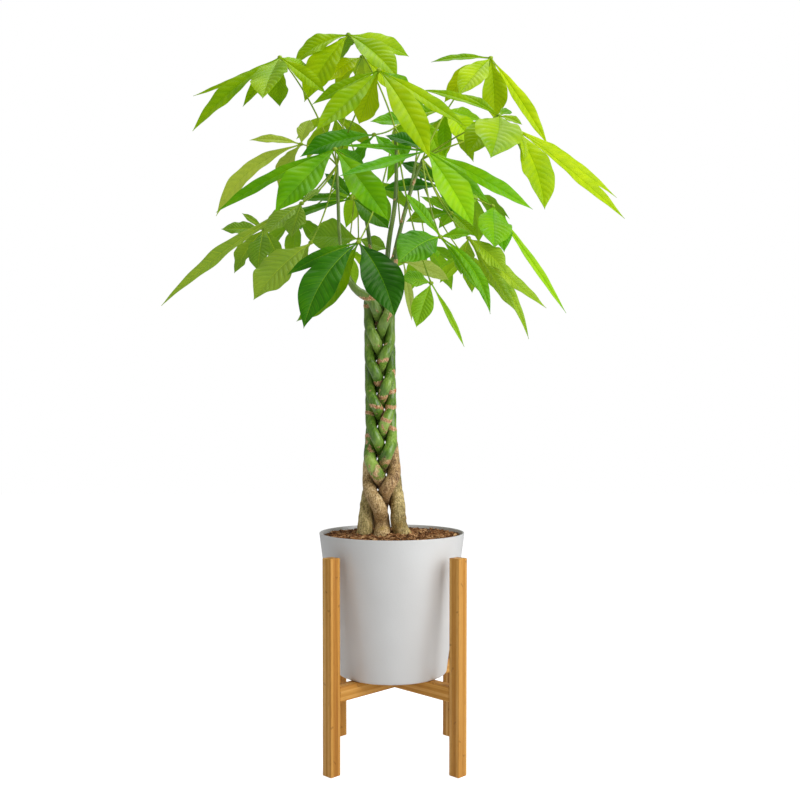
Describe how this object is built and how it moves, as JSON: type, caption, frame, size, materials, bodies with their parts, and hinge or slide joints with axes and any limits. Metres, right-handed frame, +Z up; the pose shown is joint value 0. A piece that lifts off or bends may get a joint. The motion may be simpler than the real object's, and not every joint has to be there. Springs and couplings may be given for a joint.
{
  "type": "potted money tree",
  "caption": "Braided money tree with spreading palmate leaves, growing in a round tapered pot that stands on a four-legged wooden stand.",
  "frame": {"origin": "on the floor, under the middle of the stand, which is also under the middle of the whole plant's box", "axes": "+Z up; -Y is the front, as in the picture; +X is to the right seen from the front; the stand's legs are on the diagonals"},
  "size_m": [0.785, 0.551, 1.2713],
  "materials": {
    "bamboo": "honey bamboo with fine vertical grain and faint node marks, satin",
    "dowel_wood": "plain pale wood, hidden in its holes",
    "pot_glaze": "smooth off-white, semi-gloss",
    "soil": "dark brown potting soil with coir and bark crumbs, dull",
    "stem_bark": "green bark with tan patches and ring scars, browner near the soil",
    "leaf_crown": "young lime-green leaves, satin, with a paler midrib and fine veins",
    "leaf_middle": "fresh green leaves, satin, with a pale midrib and fine veins",
    "leaf_lower": "older dark green leaves, satin, with a pale midrib; grey-green below"
  },
  "bodies": {
    "root": {"stand_leg_front_left": "bamboo", "stand_leg_front_right": "bamboo", "stand_leg_back_right": "bamboo", "stand_leg_back_left": "bamboo", "stand_bar_lower": "bamboo", "stand_bar_upper": "bamboo", "stand_dowel_front_left": "dowel_wood", "stand_dowel_front_right": "dowel_wood", "stand_dowel_back_right": "dowel_wood", "stand_dowel_back_left": "dowel_wood", "pot": "pot_glaze", "soil": "soil", "stem_1": "stem_bark", "stem_2": "stem_bark", "stem_3": "stem_bark", "stem_4": "stem_bark", "stem_5": "stem_bark", "leaf_01": "leaf_crown", "leaf_02": "leaf_crown", "leaf_03": "leaf_crown", "leaf_04": "leaf_crown", "leaf_05": "leaf_crown", "leaf_06": "leaf_crown", "leaf_07": "leaf_crown", "leaf_08": "leaf_crown", "leaf_09": "leaf_middle", "leaf_10": "leaf_middle", "leaf_11": "leaf_middle", "leaf_12": "leaf_middle", "leaf_13": "leaf_middle", "leaf_14": "leaf_middle", "leaf_15": "leaf_lower", "leaf_16": "leaf_lower", "leaf_17": "leaf_lower", "leaf_18": "leaf_lower", "leaf_19": "leaf_lower", "leaf_20": "leaf_lower", "leaf_21": "leaf_lower", "leaf_22": "leaf_lower", "leaf_23": "leaf_lower", "leaf_24": "leaf_lower", "leaf_25": "leaf_middle", "leaf_26": "leaf_middle", "leaf_27": "leaf_crown", "leaf_28": "leaf_crown", "leaf_29": "leaf_middle", "leaf_30": "leaf_middle", "leaf_31": "leaf_middle", "leaf_32": "leaf_middle", "leaf_33": "leaf_middle", "leaf_34": "leaf_middle"}
  },
  "joints": []
}
